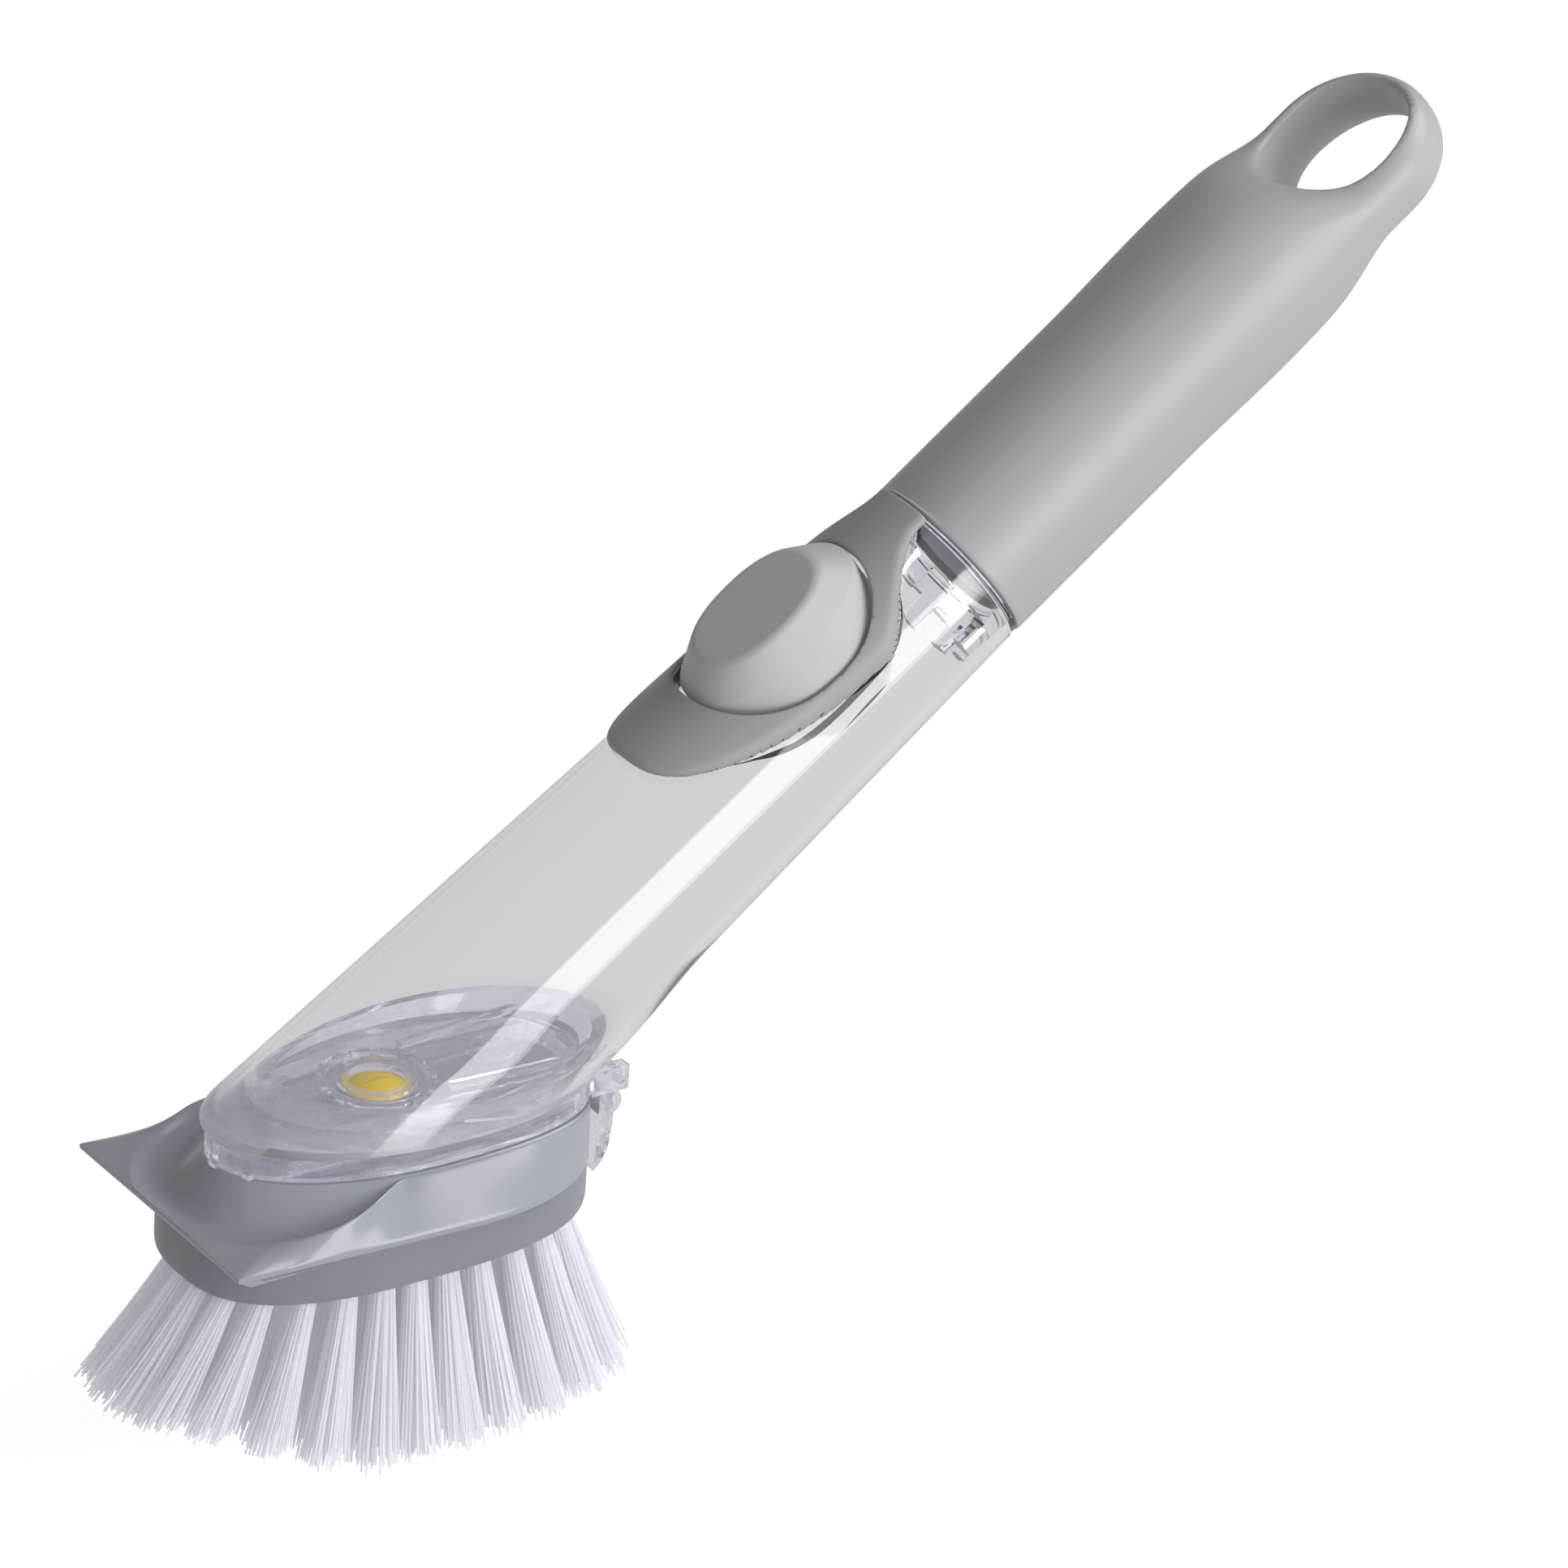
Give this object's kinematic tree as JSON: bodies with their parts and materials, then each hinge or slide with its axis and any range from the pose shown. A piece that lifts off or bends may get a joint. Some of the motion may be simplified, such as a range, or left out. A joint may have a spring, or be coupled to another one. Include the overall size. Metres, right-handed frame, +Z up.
{
  "type": "dish wand",
  "caption": "Soap-dispensing dish wand with a clear tank, a pump button, a screw-on grip with a hanging loop, and a pull-off brush head with a flared scraper frame",
  "frame": {"origin": "Under the middle of the wand, at the level of the bristle tips", "axes": "X runs from the scraper lip to the grip's loop, Y is across the head and is the axis of the mirror plane, Z is up; the head is level and the tank and grip lean up at 36.5 degrees"},
  "size_m": [0.2506, 0.0496, 0.2002],
  "materials": {
    "clear_shell": "clear moulded plastic",
    "clear_insert": "clear moulded plastic, ribbed",
    "valve_rubber": "yellow silicone rubber",
    "black_rubber": "matt sealing ring",
    "bezel_plastic": "satin mid grey",
    "pump_rubber": "pale silicone rubber",
    "button_rubber": "soft matt grey",
    "white_plastic": "natural white",
    "grip_plastic": "satin grey",
    "frame_plastic": "satin cool grey",
    "block_plastic": "satin dark grey",
    "nylon": "white nylon bristles",
    "pad_rubber": "soft matt grey"
  },
  "bodies": {
    "tank": {"tank_shell": "clear_shell", "neck_insert": "clear_insert", "foot_plate": "clear_shell", "foot_flange": "clear_insert", "outlet_valve": "valve_rubber", "valve_retainer": "clear_insert", "spigot_seal": "black_rubber", "pump_well": "clear_insert", "button_bezel": "bezel_plastic", "pump_bellows": "pump_rubber"},
    "button": {"button_cap": "button_rubber", "button_core": "white_plastic"},
    "grip_carrier": {"grip_seal": "black_rubber"},
    "grip_turning": {"grip": "grip_plastic", "grip_liner": "white_plastic"},
    "head": {"scraper_frame": "frame_plastic", "bristle_block": "block_plastic", "tufts_outer": "nylon", "tufts_inner": "nylon"},
    "latch": {"latch_tongue": "clear_shell", "latch_pad": "pad_rubber"}
  },
  "joints": [
    {"name": "button_press", "type": "slide", "parent": "tank", "child": "button", "axis": [0.5948, 0, -0.8039], "range_m": [0, 0.003], "stiffness_N_per_m": 900, "springref_m": -0.0008, "deforming": ["pump_bellows"]},
    {"name": "grip_lift", "type": "slide", "parent": "tank", "child": "grip_carrier", "axis": [0.8039, 0, 0.5948], "range_m": [0, 0.009]},
    {"name": "grip_turn", "type": "hinge", "parent": "grip_carrier", "child": "grip_turning", "pos_m": [0.03275, 0, 0.12909], "axis": [0.8039, 0, 0.5948], "range_deg": [0, 810]},
    {"name": "head_release", "type": "slide", "parent": "tank", "child": "head", "axis": [0, 0, -1], "range_m": [0, 0.012]},
    {"name": "latch_flex", "type": "hinge", "parent": "tank", "child": "latch", "pos_m": [-0.034, 0, 0.0549], "axis": [0, -1, 0], "range_deg": [0, 14]}
  ],
  "couplings": [
    {"joint": "grip_turn", "follows": "grip_lift", "rad_per_m": 1570.8},
    {"joint": "latch_flex", "follows": "head_release", "rad_per_m": 17.453}
  ]
}
